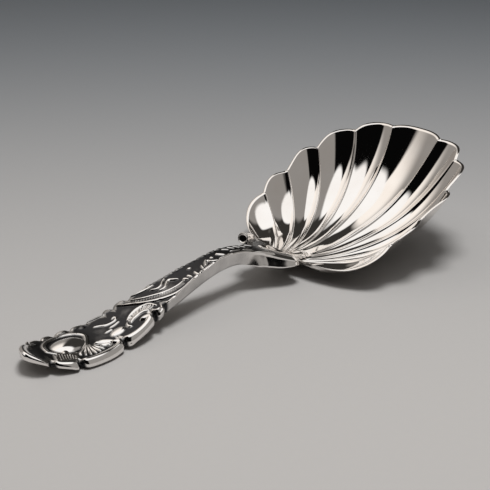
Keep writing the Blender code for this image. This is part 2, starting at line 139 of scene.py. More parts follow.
def flute_line(lobe, run):
    """Plan of the line along the bowl at a lobe position: a quadratic curve from the tongue to the rim.

    Its foot lies on the tongue's ellipse, its end on the rim's superellipse, and its bend nearer the
    rim along X than across, so that the lines leave the tongue lengthways and turn out to the rim.
    """
    angle = np.radians(np.interp(lobe, np.arange(LOBES + 1), RIDGE_ANGLES))
    cos, sin = np.cos(angle), np.sin(angle)
    reach = np.where(cos > 0, RIM_FRONT, RIM_BACK)
    rim_x = RIM_CENTRE + reach * np.sign(cos) * np.abs(cos) ** (2 / RIM_POWER)
    rim_y = RIM_SIDE * np.sign(sin) * np.abs(sin) ** (2 / RIM_POWER)
    from_middle = 2 * lobe / LOBES - 1
    foot_angle = np.sign(from_middle) * np.abs(from_middle) ** FOOT_SPREAD * math.pi / 2
    foot_x = SHOULDER_X + TONGUE_LENGTH * np.cos(foot_angle)
    foot_y = TONGUE_SIDE * np.sin(foot_angle)
    bend_x, bend_y = blend(foot_x, rim_x, BEND_X), blend(foot_y, rim_y, BEND_Y)
    weights = (1 - run) ** 2, 2 * run * (1 - run), run ** 2
    x = foot_x * weights[0] + bend_x * weights[1] + rim_x * weights[2]
    y = foot_y * weights[0] + bend_y * weights[1] + rim_y * weights[2]
    return x, y


def upward_normals(points):
    """Unit normals of a grid of points, turned to point up: the cross product of its two slopes."""
    normal = np.cross(np.gradient(points, axis=1), np.gradient(points, axis=0))
    normal /= np.linalg.norm(normal, axis=-1, keepdims=True)
    return normal * np.where(normal[..., 2:] < 0, -1.0, 1.0)


def flute_sink(lobe, run, face):
    """Depth of the bowl's inner face below its ridge face: flutes and heel dish, less the ribs.

    A flute is a power of a parabola across its lobe, rounded over where it meets the ridges. It leans
    towards the tip, runs in after the heel, deepens by a power of the run and is shallower at the sides;
    the end lobes start from a depth of their own. The dish fades out along the run, as a square. A rib is
    a bell across each ridge.
    """
    across = lobe % 1.0
    from_end = np.minimum(lobe, LOBES - lobe)
    from_middle = np.abs(2 * lobe / LOBES - 1)
    left = np.clip(1 - run, 0.0, 1.0)
    lean = blend(HEEL_LEAN, RIM_LEAN, run) * np.clip((lobe - LOBES / 2) / LEAN_LOBES, -1.0, 1.0)
    leaning = across + lean * across * (1 - across)
    arch = np.clip(4 * leaning * (1 - leaning), 0.0, 1.0) ** FLUTE_POWER
    rounding = blend(ROUNDING_AT_RIM, ROUNDING_AT_HEEL, left ** 2)
    flute = (np.sqrt(arch ** 2 + rounding ** 2) - rounding) / (np.sqrt(1 + rounding ** 2) - rounding)
    depth = np.where(from_end > 1, blend(HEEL_FLUTE, RIM_FLUTE, run ** FLUTE_GROWTH), END_FLUTE)
    depth = depth * (1 - SIDE_SHALLOWING * ramp(from_middle, SHALLOW_FROM, SHALLOW_OVER))
    depth = depth * ease(run / (RUN_IN_MIDDLE + RUN_IN_SIDES * from_middle)) ** RUN_IN_POWER
    dish = HEEL_DISH * ramp(from_middle, DISH_FROM, DISH_OVER) * np.clip(1 - run / DISH_RUN, 0.0, 1.0) ** 2
    ridge = np.clip(np.round(lobe), 1, LOBES - 1)
    lobe_width = np.linalg.norm(np.gradient(face, lobe[:, 0], axis=0), axis=-1)
    rib_half = RIB_HALF + RIB_FLARE * left
    rib = blend(HEEL_RIB, RIM_RIB, run) * ramp(run, RIB_FROM, RIB_OVER)
    rib = rib * np.exp(-((lobe - ridge) * lobe_width / rib_half) ** 2)
    return depth * flute + dish - rib


def bowl_rings():
    """Closed profile for each lobe position: up the inner face, round the lip and down the outer face.

    The rim bulges out by a parabola at each lobe, and by half a sine over the inner half of the two end
    lobes. The outer face is the inner one moved along its normal by the sheet, which is stout in the
    middle of the floor and thins out at both ends of the row of lobes, as the lip does. The lip is a low
    crown, level with the rim plane. The lines crowd towards the ridges, by a sine.
    """
    even = np.linspace(0, LOBES, LOBES * LOBE_STEPS + 1)
    lobe = (even - RIDGE_CROWDING * np.sin(2 * math.pi * even) / (2 * math.pi))[:, None]
    across = lobe % 1.0
    from_end = np.minimum(lobe, LOBES - lobe)
    from_middle = np.abs(2 * lobe / LOBES - 1)
    end_bulge = END_SCALLOP * np.sin(2 * math.pi * np.clip(1 - from_end, 0.0, 0.5))
    bulge = np.where(from_end > 1, SCALLOP * 4 * across * (1 - across), end_bulge)
    run = np.linspace(0, 1, RUN_STEPS + 1)[None, :] * (1 + bulge)
    x, y = flute_line(lobe, run)
    face = np.stack([x, y, bowl_face(x, y)], axis=-1)
    inner = face - upward_normals(face) * flute_sink(lobe, run, face)[..., None]
    normal = upward_normals(inner)
    end_fade = ease(from_end / END_FADE)
    stout = ease(STOUT_AT_FOOT - STOUT_LOSS_OUT * run)
    stout = stout * ease(STOUT_IN_MIDDLE - STOUT_LOSS_ASIDE * from_middle)
    thick = blend(RIM_SHEET, FLOOR_SHEET, stout) * blend(END_SHEET, 1.0, end_fade)
    outer = inner - normal * thick[..., None]
    rim = inner[:, -1:]
    along, aside = (rim[..., 0] - RIM_CENTRE) / RIM_FRONT, rim[..., 1] / RIM_SIDE
    out_x = np.sign(along) * np.abs(along) ** (RIM_POWER - 1) / RIM_FRONT
    out_y = np.sign(aside) * np.abs(aside) ** (RIM_POWER - 1) / RIM_SIDE
    outward = np.stack([out_x, out_y, RIM_SLOPE * out_x], axis=-1)
    outward /= np.linalg.norm(outward, axis=-1, keepdims=True)
    turn = np.abs((normal[:, -1:] * outward).sum(axis=-1, keepdims=True))
    width = RIM_SHEET / np.clip(turn, LIP_LEAST_TURN, None)
    share = np.array(LIP_SHARES)[None, :, None]
    crown = LIP_CROWN * 4 * share * (1 - share) * np.array([-RIM_SLOPE, 0.0, 1.0])
    lip = rim + (outward * width * share + crown) * end_fade[..., None]
    return np.concatenate([inner, lip, outer[:, ::-2]], axis=1)


def ring_mesh(name, rings, seat):
    """Closed body from a grid of rings: four-sided faces between neighbours, and a cap at each end."""
    rows, around = rings.shape[:2]
    index = np.arange(rows * around).reshape(rows, around)
    turned = np.roll(index, -1, axis=1)
    faces = np.stack([index[:-1], turned[:-1], turned[1:], index[1:]], axis=-1).reshape(-1, 4)
    mesh = bpy.data.meshes.new(name)
    points = rings.reshape(-1, 3) * MM + np.asarray(seat)
    mesh.from_pydata(points.tolist(), [], faces.tolist() + [index[0][::-1].tolist(), index[-1].tolist()])
    mesh.shade_smooth()
    piece = bpy.data.objects.new(name, mesh)
    bpy.context.collection.objects.link(piece)
    return piece


bowl = bowl_rings()
SEAT = (
    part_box("handle")[0].x + HANDLE_REACH * MM, 0.0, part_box("shell_bowl")[0].z - bowl[..., 2].min() * MM)
shell_bowl = ring_mesh("fluted_bowl", bowl, SEAT)


class Shade:
    """A socket of a material or of the studio: + - and * add Math nodes, and node() adds any other node."""

    def __init__(self, tree, socket=None):
        self.tree = tree
        self.socket = socket

    def node(self, kind, settings=(), values=(), output=0):
        """New node with its settings made first, then its sockets filled with values or links."""
        made = self.tree.nodes.new(kind)
        for name, value in dict(settings).items():
            setattr(made, name, value)
        for name, value in dict(values).items():
            if isinstance(value, Shade):
                self.tree.links.new(value.socket, made.inputs[name])
            else:
                made.inputs[name].default_value = value
        return Shade(self.tree, made.outputs[output])

    def maths(self, operation, first, second):
        """Math node on two values."""
        return self.node("ShaderNodeMath", {"operation": operation}, {0: first, 1: second})

    def __add__(self, other):
        return self.maths("ADD", self, other)

    def __radd__(self, other):
        return self.maths("ADD", other, self)

    def __sub__(self, other):
        return self.maths("SUBTRACT", self, other)

    def __rsub__(self, other):
        return self.maths("SUBTRACT", other, self)

    def __mul__(self, other):
        return self.maths("MULTIPLY", self, other)

    def __rmul__(self, other):
        return self.maths("MULTIPLY", other, self)

    def mixed(self, first, second):
        """Colour between two, by this value."""
        return self.node("ShaderNodeMix", {"data_type": "RGBA"}, {0: self, 6: first, 7: second}, 2)

    def between(self, low, high):
        """0 below low, 1 above high, and a straight ramp between."""
        return self.node("ShaderNodeMapRange", {}, {0: self, 1: low, 2: high})

    def eased(self, low, high):
        """0 at low, 1 at high, and a smooth step between."""
        smooth = {"interpolation_type": "SMOOTHSTEP"}
        return self.node("ShaderNodeMapRange", smooth, {0: self, 1: low, 2: high})

    def dot(self, way):
        """How far this place lies along a direction: their dot product."""
        return self.node("ShaderNodeVectorMath", {"operation": "DOT_PRODUCT"}, {0: self, 1: way}, 1)

    def noise(self, scale, detail):
        """Cloudy noise at this place, finer with a larger scale."""
        return self.node("ShaderNodeTexNoise", {}, {"Vector": self, "Scale": scale, "Detail": detail})


def new_material(name):
    """Empty material: its nodes, its shader and its object coordinates."""
    material = bpy.data.materials.new(name)
    material.use_nodes = True
    tree = material.node_tree
    return material, tree.nodes["Principled BSDF"], Shade(tree).node("ShaderNodeTexCoord", output=3)


def connect(shader, **links):
    """Link expressions or set plain values on a shader's sockets, with _ for a space in the name."""
    for name, value in links.items():
        socket = shader.inputs[name.replace("_", " ")]
        if isinstance(value, Shade):
            value.tree.links.new(value.socket, socket)
        else:
            socket.default_value = value


CLEAN_SILVER, SMEARED_SILVER = (0.93, 0.905, 0.88, 1), (0.87, 0.825, 0.785, 1)
SMEAR_SCALE, SMEAR_TINT, SMEAR_DULLING = 160.0, (0.3, 0.75), (0.4, 0.8)
MIRROR_ROUGHNESS, SMEAR_ROUGHNESS = 0.03, 0.05
HAIRLINE_SCALE, HAIRLINE_STRENGTH, BUMP_DEPTH = (260.0, 2600.0, 900.0), 0.02, 0.0001


def mirror_silver():
    """Mirror-polished silver: faint warm colour, finger smears in the gloss and hairline scratches."""
    material, shader, place = new_material("mirror_silver")
    smear = place.noise(SMEAR_SCALE, 4.0)
    drawn = place.node("ShaderNodeMapping", {}, {"Vector": place, "Scale": HAIRLINE_SCALE})
    bump = place.node("ShaderNodeBump", {}, {
        "Strength": HAIRLINE_STRENGTH, "Distance": BUMP_DEPTH, "Height": drawn.noise(1.0, 3.0)})
    colour = smear.between(*SMEAR_TINT).mixed(CLEAN_SILVER, SMEARED_SILVER)
    gloss = MIRROR_ROUGHNESS + smear.between(*SMEAR_DULLING) * SMEAR_ROUGHNESS
    connect(shader, Base_Color=colour, Metallic=1.0, Roughness=gloss, Normal=bump)
    return material


shell_bowl.data.materials.append(mirror_silver())
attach(shell_bowl, "root")
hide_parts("shell_bowl")

# Handle: one bar of silver struck between two dies, with a curled end, an arched stem and thin shoulders,
# the near one drawn out to a tip. Scrolls, shells and a domed cartouche stand up from a matted ground that
# has darkened with age.
END_X, END_ROUNDNESS = -HANDLE_REACH, 2.1
CURL_X, BLADE_X, FOOT_BACK, FOOT_FRONT, STEM_X, WAIST_X = -44.5, -40.0, -38.5, -35.5, -14.0, -5.0
BLADE_SIDE, WAIST_SIDE, SHOULDER_SIDE, HEEL_SIDE, LEAST_SIDE = 5.9, 1.75, 5.4, 1.3, 0.8
TAPER_EASE, SHOULDER_EASE = 1.1, 1.8
END_HEIGHT, CURL_HEIGHT, ARCH_HEIGHT, HEEL_HEIGHT = 2.65, 1.15, 5.8, 1.4
CURL_THICKNESS, BLADE_THICKNESS, STEM_THICKNESS, SHOULDER_THICKNESS = 1.0, 1.3, 2.75, 2.9
TONGUE_THICKNESS = 0.8
BLEND_RUN = 3.6
REST = -SEAT[2] / MM
NEAR_LOBES = ((-45.0, -40.7, 0.5), (-40.7, -31.8, 0.8), (-31.8, -24.6, 0.65), (-24.6, -22.0, 0.3))
FAR_LOBES = (
    (-45.7, -42.3, 0.5), (-42.3, -39.6, 0.5), (-39.6, -36.5, 0.5), (-36.5, -33.2, 0.4),
    (-30.0, -27.9, 0.5), (-27.9, -24.9, 0.5))
NEAR_NOTCH, FAR_NOTCH, NOTCH_HALF, LOBE_FULLNESS = 0.7, 0.3, 0.5, 0.6


def through(x, stations):
    """Cubic through (place, value) stations that never swings past them, by harmonic mean slopes."""
    place, value = np.array(stations, dtype=float).T
    chord = np.diff(value) / np.diff(place)
    before, after = chord[:-1], chord[1:]
    same_way = before * after > 0
    mean = 2.0 * before * after / np.where(same_way, before + after, 1.0)
    slope = np.concatenate([chord[:1], np.where(same_way, mean, 0.0), chord[-1:]])
    i = np.clip(np.searchsorted(place, x) - 1, 0, len(place) - 2)
    step = place[i + 1] - place[i]
    t = (x - place[i]) / step
    start = value[i] * (1 + 2 * t) * (1 - t) ** 2 + slope[i] * step * t * (1 - t) ** 2
    return start + value[i + 1] * t * t * (3 - 2 * t) - slope[i + 1] * step * t * t * (1 - t)


def notches(x, lobes):
    """Share of notch at a place: a bell at each lobe's end, where two lobes meet only once."""
    places = sorted({place for lobe in lobes for place in lobe[:2]})
    return sum(np.exp(-((x - place) / NOTCH_HALF) ** 2) for place in places)


def side_width(x, lobes, notch_depth, trim=0.0):
    """Half width on one side: round end, taper to the waist, spread to the shoulder, and scroll lobes.

    Each lobe swells by a power of a half sine wave, and a narrow bell-shaped notch is cut at both of its
    ends. The trim narrows the round end.
    """
    taper = np.clip((x - BLADE_X) / (WAIST_X - BLADE_X), 0.0, 1.0)
    spread = np.clip((x - WAIST_X) / (SHOULDER_X - WAIST_X), 0.0, 1.0)
    past = np.clip((BLADE_X - x) / (BLADE_X - END_X), 0.0, 1.0)
    width = blend(BLADE_SIDE, WAIST_SIDE, ease(taper ** TAPER_EASE))
    width = width + (SHOULDER_SIDE - WAIST_SIDE) * ease(spread ** SHOULDER_EASE)
    width = width * np.sqrt(1 - past ** END_ROUNDNESS) * (1 - trim * ease(2 * past))
    for start, end, swell in lobes:
        way = np.clip((x - start) / (end - start), 0.0, 1.0)
        width = width + swell * np.sin(math.pi * way) ** LOBE_FULLNESS
    return np.maximum(width - notch_depth * notches(x, lobes), LEAST_SIDE)


def underside(x):
    """Height of the handle's underside: a cubic through its curled end, flat foot, arch and heel."""
    middle = (FOOT_FRONT + WAIST_X) / 2
    return REST + through(x, (
        (END_X, END_HEIGHT), (CURL_X, CURL_HEIGHT), (FOOT_BACK, 0.0), (FOOT_FRONT, 0.0),
        (middle, ARCH_HEIGHT / 2), (WAIST_X, ARCH_HEIGHT), (SHOULDER_X, HEEL_HEIGHT)))


def handle_face(x, y):
    """Height of the upper face before ornament: underside plus thickness, eased into the bowl's face."""
    thickness = through(x, (
        (END_X, CURL_THICKNESS), (CURL_X, CURL_THICKNESS), (FOOT_BACK, BLADE_THICKNESS),
        (FOOT_FRONT, BLADE_THICKNESS), (STEM_X, STEM_THICKNESS), (SHOULDER_X, SHOULDER_THICKNESS)))
    return blend(underside(x) + thickness, bowl_face(x, y), ease(x / BLEND_RUN))


def smooth_line(points, steps=8):
    """Smooth line through points: a Catmull-Rom cubic on each span, cut into short straight steps."""
    p = np.array(points, dtype=float)
    p = np.concatenate([2 * p[:1] - p[1:2], p, 2 * p[-1:] - p[-2:-1]])
    t = np.arange(steps)[:, None, None] / steps
    a, b, c, d = p[:-3], p[1:-2], p[2:-1], p[3:]
    line = b + (c - a) * t / 2 + (2 * a - 5 * b + 4 * c - d) * t ** 2 / 2
    line = line + (3 * b - 3 * c + d - a) * t ** 3 / 2
    return np.concatenate([line.transpose(1, 0, 2).reshape(-1, 2), p[-2:-1]])


def bead(relief, x, y, half, height, points, tail=0.45):
    """Raise a round bead along a path: height times the root of 1 less the squared share of its half width.

    The half width thins to its tail share at both ends. Where beads cross, the higher one stays.
    """
    line = smooth_line(points)
    low, high = line.min(axis=0) - half, line.max(axis=0) + half
    near = (x > low[0]) & (x < high[0]) & (y > low[1]) & (y < high[1])
    spot = np.stack([x[near], y[near]], axis=-1)[:, None]
    start, leg = line[:-1], np.diff(line, axis=0)
    share = np.clip(((spot - start) * leg).sum(axis=-1) / (leg ** 2).sum(axis=-1), 0.0, 1.0)
    away = np.linalg.norm(spot - start - share[..., None] * leg, axis=-1)
    closest = away.argmin(axis=1)[:, None]
    place = (closest + np.take_along_axis(share, closest, axis=1))[:, 0] / len(leg)
    width = half * (tail + (1 - tail) * np.sqrt(4 * place * (1 - place)))
    rise = height * np.sqrt(np.clip(1 - (away.min(axis=1) / width) ** 2, 0.0, None))
    relief[near] = np.maximum(relief[near], rise)


def knob(relief, x, y, centre, radii, height):
    """Raise a cushion: height times the root of 1 less the squared distance in its ellipse."""
    far = ((x - centre[0]) / radii[0]) ** 2 + ((y - centre[1]) / radii[1]) ** 2
    np.maximum(relief, height * np.sqrt(np.clip(1 - far, 0.0, None)), out=relief)


# Each stroke of the ornament has its half width, its height, its path and sometimes the share of its tail.
END_SCROLLS = (
    (0.95, 0.42, ((-45.0, 4.6), (-46.6, 3.2), (-47.5, 1.2), (-47.6, -0.8), (-47.0, -2.8), (-46.0, -4.2))),
    (1.2, 0.3, ((-44.4, -3.9), (-43.6, -4.4), (-42.5, -4.6), (-41.4, -4.6))),
    (0.30, 0.28, ((-43.9, -3.7), (-43.6, -2.9), (-43.3, -2.0))),
    (0.55, 0.42, ((-35.6, -1.9), (-34.6, -2.1), (-33.8, -2.7), (-33.1, -3.6))),
    (0.40, 0.35, ((-35.2, -3.0), (-34.4, -3.4), (-34.0, -4.0))),
    (1.05, 0.5, (
        (-40.2, -5.5), (-38.6, -5.9), (-36.8, -6.0), (-35.0, -5.85), (-33.6, -5.55), (-32.4, -5.2)), 0.7),
    (0.30, 0.30, ((-33.0, 5.2), (-32.2, 5.05), (-31.0, 4.75), (-29.7, 4.4))))
MIDDLE_SCROLLS = (
    (0.25, 0.25, (
        (-33.0, 2.8), (-32.2, 2.3), (-31.3, 1.5), (-30.4, 1.2), (-29.6, 1.2), (-29.1, 1.6), (-29.2, 2.1),
        (-29.7, 2.0))),
    (0.25, 0.22, ((-31.3, 0.25), (-30.2, 0.2), (-29.2, 0.35))),
    (0.25, 0.22, ((-32.6, -0.3), (-31.9, -0.38), (-31.2, -0.4))),
    (0.30, 0.30, ((-28.6, -1.3), (-29.0, -1.8), (-29.0, -2.5), (-28.7, -2.8))),
    (0.45, 0.42, ((-24.3, -2.7), (-24.3, -3.3), (-23.9, -3.7), (-23.3, -3.7))),
    (0.8, 0.5, (
        (-33.2, -3.8), (-32.0, -4.4), (-30.0, -5.05), (-28.2, -5.1), (-26.7, -4.7), (-25.7, -3.95),
        (-25.8, -3.4), (-26.7, -3.0))),
    (0.30, 0.30, ((-24.2, 3.9), (-23.3, 3.5), (-21.6, 2.9), (-20.0, 2.6))),
    (0.28, 0.28, ((-22.0, -3.6), (-21.0, -3.68), (-20.0, -3.7))))
STEM_LEAVES = (
    (0.30, 0.30, ((-21.2, 1.9), (-20.3, 1.2), (-19.3, 1.3), (-18.4, 2.0), (-17.6, 2.4))),
    (0.35, 0.32, ((-20.4, 0.3), (-19.3, 0.2), (-18.4, 0.8), (-17.6, 1.3), (-17.0, 0.7), (-16.4, -0.1))),
    (0.35, 0.30, ((-15.9, -0.9), (-15.6, -1.3), (-15.4, -1.8))),
    (0.25, 0.25, ((-14.8, -0.7), (-14.6, -1.2), (-14.5, -1.8))),
    (0.25, 0.25, ((-13.3, -0.9), (-13.35, -1.6), (-13.3, -2.4))),
    (0.25, 0.25, ((-12.6, -1.9), (-12.4, -2.2), (-12.2, -2.4))),
    (0.35, 0.28, ((-13.6, 0.7), (-13.3, 0.6), (-13.0, 0.5))),
    (0.25, 0.25, ((-11.3, -0.5), (-11.5, -1.0), (-11.7, -1.6))),
    (0.35, 0.30, ((-10.9, -1.3), (-10.3, -0.5), (-9.8, 0.1))),
    (0.30, 0.30, ((-9.8, 0.1), (-9.3, -1.1), (-8.4, -1.8), (-7.0, -2.0), (-5.6, -1.95), (-4.8, -1.7))),
    (0.25, 0.25, ((-8.7, 0.1), (-8.5, -0.15), (-8.4, -0.4))),
    (0.35, 0.28, ((-7.2, 0.2), (-6.6, -0.5), (-6.2, -1.2))),
    (0.30, 0.25, ((-11.4, -2.5), (-10.4, -2.3), (-9.4, -2.2))),
    (0.20, 0.20, ((-7.6, -1.5), (-6.2, -1.6), (-5.2, -1.3))),
    (0.22, 0.2, ((-5.2, 0.9), (-4.6, 0.5), (-4.2, 0.0))),
    (0.22, 0.2, ((-3.8, 1.0), (-3.2, 0.6), (-2.7, 0.1))),
    (0.22, 0.2, ((-2.4, 1.1), (-1.7, 0.7), (-1.2, 0.2))),
    (0.22, 0.2, ((-0.9, 1.2), (-0.2, 0.8), (0.3, 0.3))),
    (0.22, 0.2, ((0.8, 1.4), (1.5, 1.0), (2.0, 0.4))),
    (0.22, 0.2, ((-4.4, -0.7), (-3.4, -0.9), (-2.4, -1.0))),
    (0.22, 0.2, ((-1.6, -1.1), (-0.6, -1.3), (0.4, -1.5))),
    (0.30, 0.22, ((-4.5, -1.9), (-2.0, -2.2), (0.0, -2.4), (2.0, -2.9), (4.0, -3.7))))
CARTOUCHE_BORDER = (
    (-43.6, 0.2), (-43.3, 2.2), (-42.0, 3.6), (-40.2, 4.2), (-38.2, 4.2), (-36.6, 3.4), (-35.6, 2.1),
    (-35.9, 0.9), (-36.6, -0.3), (-37.4, -1.5), (-38.6, -2.5), (-40.0, -2.7), (-41.4, -1.9), (-42.6, -0.9),
    (-43.6, 0.2))
STRAP_NEAR = (
    (-27.0, 4.2), (-26.2, 3.0), (-25.0, 1.5), (-24.0, 0.3), (-23.0, -0.7), (-21.5, -1.9), (-20.0, -2.7),
    (-18.5, -3.1), (-16.5, -3.0), (-14.7, -2.5))
STRAP_FAR = (
    (-24.8, 3.0), (-23.5, 1.6), (-22.0, 0.4), (-20.5, -0.6), (-19.0, -1.2), (-17.5, -1.5), (-16.2, -1.4))
REED_OUTER = (
    (-28.3, -0.8), (-27.4, -0.2), (-26.2, 0.1), (-25.2, 0.0), (-24.2, -0.5), (-23.5, -1.3), (-23.1, -2.4))
REED_INNER = ((-28.3, -1.9), (-27.3, -1.5), (-26.2, -1.4), (-25.3, -1.6), (-24.6, -2.2))
BORDERS = (
    (0.4, 0.22, CARTOUCHE_BORDER, 1.0), (0.35, 0.36, STRAP_NEAR), (0.28, 0.30, STRAP_FAR),
    (0.27, 0.32, REED_OUTER), (0.27, 0.32, REED_INNER))
HATCH_HALF, HATCH_HEIGHT, HATCH_REACHES = 0.13, 0.1, (0.35, 0.5, 0.65)
BAR_HALF, BAR_HEIGHT, BAR_SHARES = 0.13, 0.2, np.linspace(0.06, 0.94, 13)
PLEAT_HALF, PLEAT_HEIGHT, PLEAT_REACHES = 0.24, 0.27, (0.5, 2.0, 3.5)
PLEAT_FOOT, PLEAT_ANGLES = np.array([-36.9, -1.0]), np.radians(np.linspace(-137, -64, 6))
TOOTH_HALF, TOOTH_HEIGHT, TOOTH_REACHES = 0.18, 0.22, (-1.1, 0.0, 1.1)
TOOTH_WAY, COMB_MIDDLE = np.array([-0.35, -0.93]), np.array([-41.6, -3.1])
COMB_STEPS, COMB_PITCH, COMB_SLOPE, COMB_BEND = range(-5, 5), 0.399, -0.084, 0.0168
KNOBS = (
    ((-41.2, 5.1), (1.1, 0.7), 0.18), ((-37.8, 5.4), (1.1, 0.7), 0.18), ((-44.5, 3.6), (0.6, 0.5), 0.16),
    ((-35.4, 5.2), (0.9, 0.6), 0.14), ((-34.5, 4.3), (0.6, 0.5), 0.16), ((-33.6, 4.6), (0.45, 0.4), 0.14),
    ((-28.8, 4.9), (1.0, 0.9), 0.18), ((-26.3, 4.6), (1.15, 1.0), 0.2), ((-31.0, -1.8), (1.5, 1.0), 0.38),
    ((-41.3, -1.4), (0.6, 0.5), 0.38))
EDGE_KNOBS, EDGE_KNOB_START, EDGE_KNOB_PITCH, EDGE_KNOB_SHIFT = 14, -20.6, 1.15, 0.3
EDGE_KNOB_RADII, EDGE_KNOB_INSET, EDGE_KNOB_HEIGHT, EDGE_KNOB_CHANGE = (0.6, 0.42), 0.3, 0.2, 0.08
SHIFT_BEAT, CHANGE_BEAT = 3.1, 5.3
BOSS_X, BOSS_Y, BOSS_LENGTH, BOSS_SIDE = -39.5, 0.7, 3.3, 2.6
BOSS_DOME, BOSS_FULLNESS, BOSS_SINK = 1.7, 1.25, 1.0


def short_strokes():
    """Rows of short strokes: strap hatching, bars of the reeded shell, pleats and comb of the cartouche.

    The hatching stands square to its strap, the bars join two lines at equal shares, the pleats fan out
    from one foot, and the teeth of the comb lie side by side on a parabola.
    """
    strap = smooth_line(STRAP_FAR)
    way = np.gradient(strap, axis=0)
    square = np.stack([way[:, 1], -way[:, 0]], axis=-1) / np.linalg.norm(way, axis=-1, keepdims=True)
    strokes = []
    for spot, out in zip(strap[2:-2:2], square[2:-2:2]):
        strokes.append((HATCH_HALF, HATCH_HEIGHT, [spot + reach * out for reach in HATCH_REACHES], 1.0))
    outer, inner = smooth_line(REED_OUTER), smooth_line(REED_INNER)
    for share in BAR_SHARES:
        foot, head = inner[int(share * (len(inner) - 1))], outer[int(share * (len(outer) - 1))]
        strokes.append((BAR_HALF, BAR_HEIGHT, (foot, (foot + head) / 2, head), 1.0))
    for angle in PLEAT_ANGLES:
        out = np.array([math.cos(angle), math.sin(angle)])
        strokes.append((PLEAT_HALF, PLEAT_HEIGHT, [PLEAT_FOOT + reach * out for reach in PLEAT_REACHES]))
    for step in COMB_STEPS:
        middle = COMB_MIDDLE + step * np.array([COMB_PITCH, COMB_SLOPE + COMB_BEND * step])
        tooth = [middle + reach * TOOTH_WAY for reach in TOOTH_REACHES]
        strokes.append((TOOTH_HALF, TOOTH_HEIGHT, tooth, 1.0))
    return tuple(strokes)


def ornament(x, y):
    """Height of the struck ornament above the handle's face: the highest of strokes, knobs and boss.

    The knobs on the far edge of the stem are spaced and raised unevenly, by sines. The cartouche's boss is
    the cap of a dome: a root of its fullness less the squared distance in its ellipse, less its sink.
    """
    relief = np.zeros(x.shape)
    for half, height, *path in END_SCROLLS + MIDDLE_SCROLLS + STEM_LEAVES + BORDERS + short_strokes():
        bead(relief, x, y, half, height, *path)
    for centre, radii, height in KNOBS:
        knob(relief, x, y, centre, radii, height)
    for step in range(EDGE_KNOBS):
        place = EDGE_KNOB_START + EDGE_KNOB_PITCH * step + EDGE_KNOB_SHIFT * math.sin(SHIFT_BEAT * step)
        edge = side_width(np.array(place), FAR_LOBES, FAR_NOTCH) - EDGE_KNOB_INSET
        height = EDGE_KNOB_HEIGHT + EDGE_KNOB_CHANGE * math.sin(CHANGE_BEAT * step)
        knob(relief, x, y, (place, edge), EDGE_KNOB_RADII, height)
    boss = ((x - BOSS_X) / BOSS_LENGTH) ** 2 + ((y - BOSS_Y) / BOSS_SIDE) ** 2
    return np.maximum(relief, BOSS_DOME * np.sqrt(np.clip(BOSS_FULLNESS - boss, 0.0, None)) - BOSS_SINK)


EDGE_RADIUS, UNDERCUT_RADIUS = 0.06, 0.59
OVAL_HANDLE, HOLLOW_HANDLE, LEAN_HANDLE, LEAN_FOOT = 0.55, 0.75, 0.4, 0.2
TOP_STEPS, SIDE_STEPS, BOTTOM_STEPS, ROW_STEP = 140, 7, 16, 0.12


def side_curve(side, foot, edge, floor, undercut, lean):
    """Side of a section, from the rounded upper edge to the foot.

    A quarter round turns in under the edge by the undercut share of its radius. A cubic curve then leads
    to the foot: like a quarter ellipse where the section is plain, hollow where it is undercut, and a
    nearly straight wall where it leans out.
    """
    radius = np.minimum(EDGE_RADIUS + UNDERCUT_RADIUS * undercut, (edge - floor) / 3)
    turn = np.linspace(0, math.pi / 2, SIDE_STEPS)[None, 1:]
    inward = radius * undercut
    y_round = side - inward * (1 - np.cos(turn))
    z_round = edge - radius * np.sin(turn)
    t = np.linspace(0, 1, SIDE_STEPS + 2)[None, 1:-1]
    plain = OVAL_HANDLE * (1 - undercut)
    y0, z0 = side - inward, edge - radius
    y1, z1 = blend(y0, foot, HOLLOW_HANDLE * undercut + LEAN_HANDLE * lean), blend(z0, floor, plain)
    y2, z2 = blend(foot, y0, plain * (1 - lean)), blend(floor, z0, undercut / 2 + LEAN_FOOT * lean)
    weights = (1 - t) ** 3, 3 * t * (1 - t) ** 2, 3 * t * t * (1 - t), t ** 3
    y_fall = y0 * weights[0] + y1 * weights[1] + y2 * weights[2] + foot * weights[3]
    z_fall = z0 * weights[0] + z1 * weights[1] + z2 * weights[2] + floor * weights[3]
    return np.concatenate([y_round, y_fall], axis=1), np.concatenate([z_round, z_fall], axis=1)


FULL_SHINE, EDGE_SHINE, NOTCH_DARKNESS, NOTCH_REACH = 0.25, 0.6, 1.6, 1.2
# Shares by which the top is made darker along the far edge, up to the reach given below.
FAR_EDGE_TONE = (
    (END_X, 0.75), (-37.0, 0.7), (-34.0, 0.45), (-24.0, 0.45), (-22.0, 0.9), (-20.0, 0.3), (-4.0, 0.3),
    (20.0, 0.9))
EDGE_TONE_REACH = ((END_X, 2.2), (-25.0, 2.2), (-21.0, 0.8), (20.0, 0.8))
# Painted shade: the handle's sides are darkened along its length, most on the blade and stem, for the dim,
# shadowed floor that they mirror.
SIDE_PAINTED_SHADE = (
    (END_X, 0.25), (-40.0, 0.36), (-26.0, 0.36), (-21.0, 0.5), (-1.0, 0.5), (3.0, 0.0), (20.0, 0.0))


